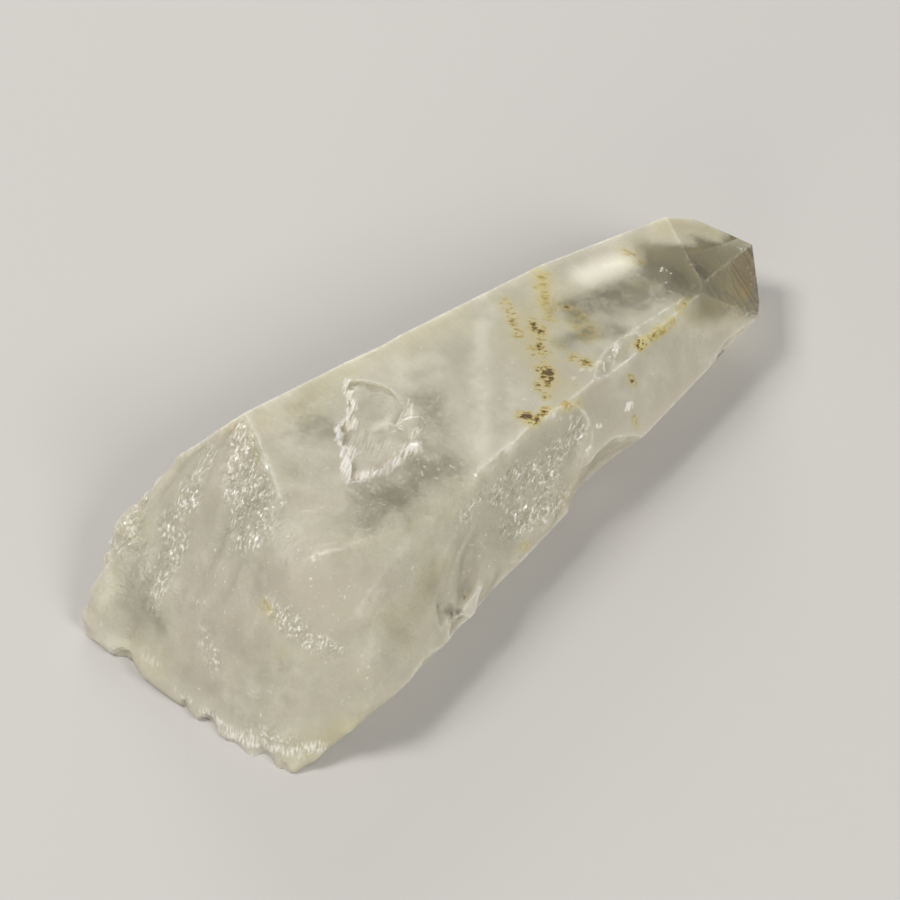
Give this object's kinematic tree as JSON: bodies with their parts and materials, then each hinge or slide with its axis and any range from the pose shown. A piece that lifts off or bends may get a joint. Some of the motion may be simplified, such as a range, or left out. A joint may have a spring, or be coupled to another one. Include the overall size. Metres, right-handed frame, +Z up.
{
  "type": "quartz crystal",
  "caption": "Natural quartz crystal: a tapered six-sided prism with a low-angled point at one end and a conchoidal break at the other, lying on a prism face.",
  "frame": {"origin": "centre of the bounding box's bottom face, on the flat prism face that the crystal rests on", "axes": "+X along the crystal towards its point, +Z up, +Y towards its back"},
  "size_m": [0.0728, 0.0316, 0.0147],
  "materials": {
    "quartz": "vitreous on the crystal faces, satin on the break, milky inside with a clearer point"
  },
  "bodies": {
    "root": {"quartz_crystal": "quartz"}
  },
  "joints": []
}
